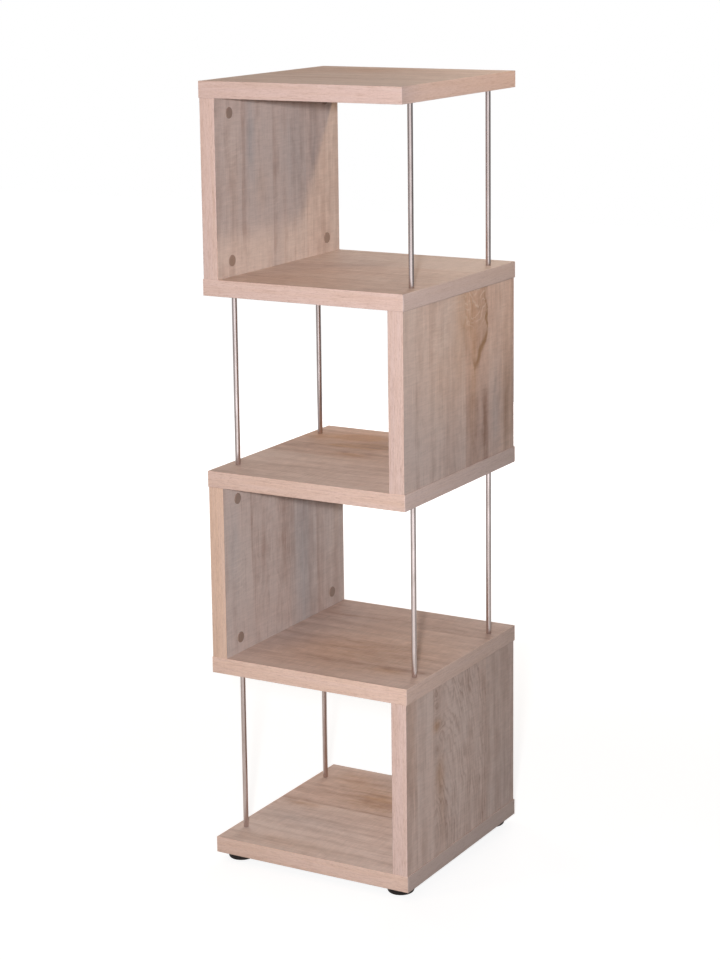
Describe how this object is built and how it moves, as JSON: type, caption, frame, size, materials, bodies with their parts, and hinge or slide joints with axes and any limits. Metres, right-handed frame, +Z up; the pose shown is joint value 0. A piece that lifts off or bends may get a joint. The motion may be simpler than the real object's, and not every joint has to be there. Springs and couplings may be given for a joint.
{
  "type": "bookcase",
  "caption": "Tall narrow open bookcase column: oak-laminate boards and alternating side panels form a zig-zag, with slim steel rods at the open sides and low round glides.",
  "frame": {"origin": "on the floor under the middle of the boards", "axes": "+Z up, front towards -Y, +X to the right seen from the front"},
  "size_m": [0.34, 0.36, 1.209],
  "materials": {
    "oak_laminate": "matt pale oak print, with grain, pores and light saw marks",
    "oak_edge_band": "matt pale oak edge strip with fine lines",
    "rod_steel": "polished steel",
    "glide_plastic": "black satin plastic",
    "cap_plastic": "brown satin plastic",
    "zinc": "cast zinc",
    "bolt_steel": "zinc-plated steel",
    "beech": "plain beech"
  },
  "bodies": {
    "root": {"base_board": "oak_laminate", "base_board_edging": "oak_edge_band", "lower_shelf": "oak_laminate", "lower_shelf_edging": "oak_edge_band", "middle_shelf": "oak_laminate", "middle_shelf_edging": "oak_edge_band", "upper_shelf": "oak_laminate", "upper_shelf_edging": "oak_edge_band", "top_board": "oak_laminate", "top_board_edging": "oak_edge_band", "bottom_right_panel": "oak_laminate", "bottom_right_panel_edging": "oak_edge_band", "bottom_right_panel_cams": "zinc", "bottom_right_panel_cam_bolts": "bolt_steel", "bottom_right_panel_dowels": "beech", "bottom_right_panel_cover_caps": "cap_plastic", "bottom_front_rod": "rod_steel", "bottom_back_rod": "rod_steel", "lower_left_panel": "oak_laminate", "lower_left_panel_edging": "oak_edge_band", "lower_left_panel_cams": "zinc", "lower_left_panel_cam_bolts": "bolt_steel", "lower_left_panel_dowels": "beech", "lower_left_panel_cover_caps": "cap_plastic", "lower_front_rod": "rod_steel", "lower_back_rod": "rod_steel", "upper_right_panel": "oak_laminate", "upper_right_panel_edging": "oak_edge_band", "upper_right_panel_cams": "zinc", "upper_right_panel_cam_bolts": "bolt_steel", "upper_right_panel_dowels": "beech", "upper_right_panel_cover_caps": "cap_plastic", "upper_front_rod": "rod_steel", "upper_back_rod": "rod_steel", "top_left_panel": "oak_laminate", "top_left_panel_edging": "oak_edge_band", "top_left_panel_cams": "zinc", "top_left_panel_cam_bolts": "bolt_steel", "top_left_panel_dowels": "beech", "top_left_panel_cover_caps": "cap_plastic", "top_front_rod": "rod_steel", "top_back_rod": "rod_steel", "front_left_glide": "glide_plastic", "front_right_glide": "glide_plastic", "back_left_glide": "glide_plastic", "back_right_glide": "glide_plastic", "glide_screws": "bolt_steel"}
  },
  "joints": []
}
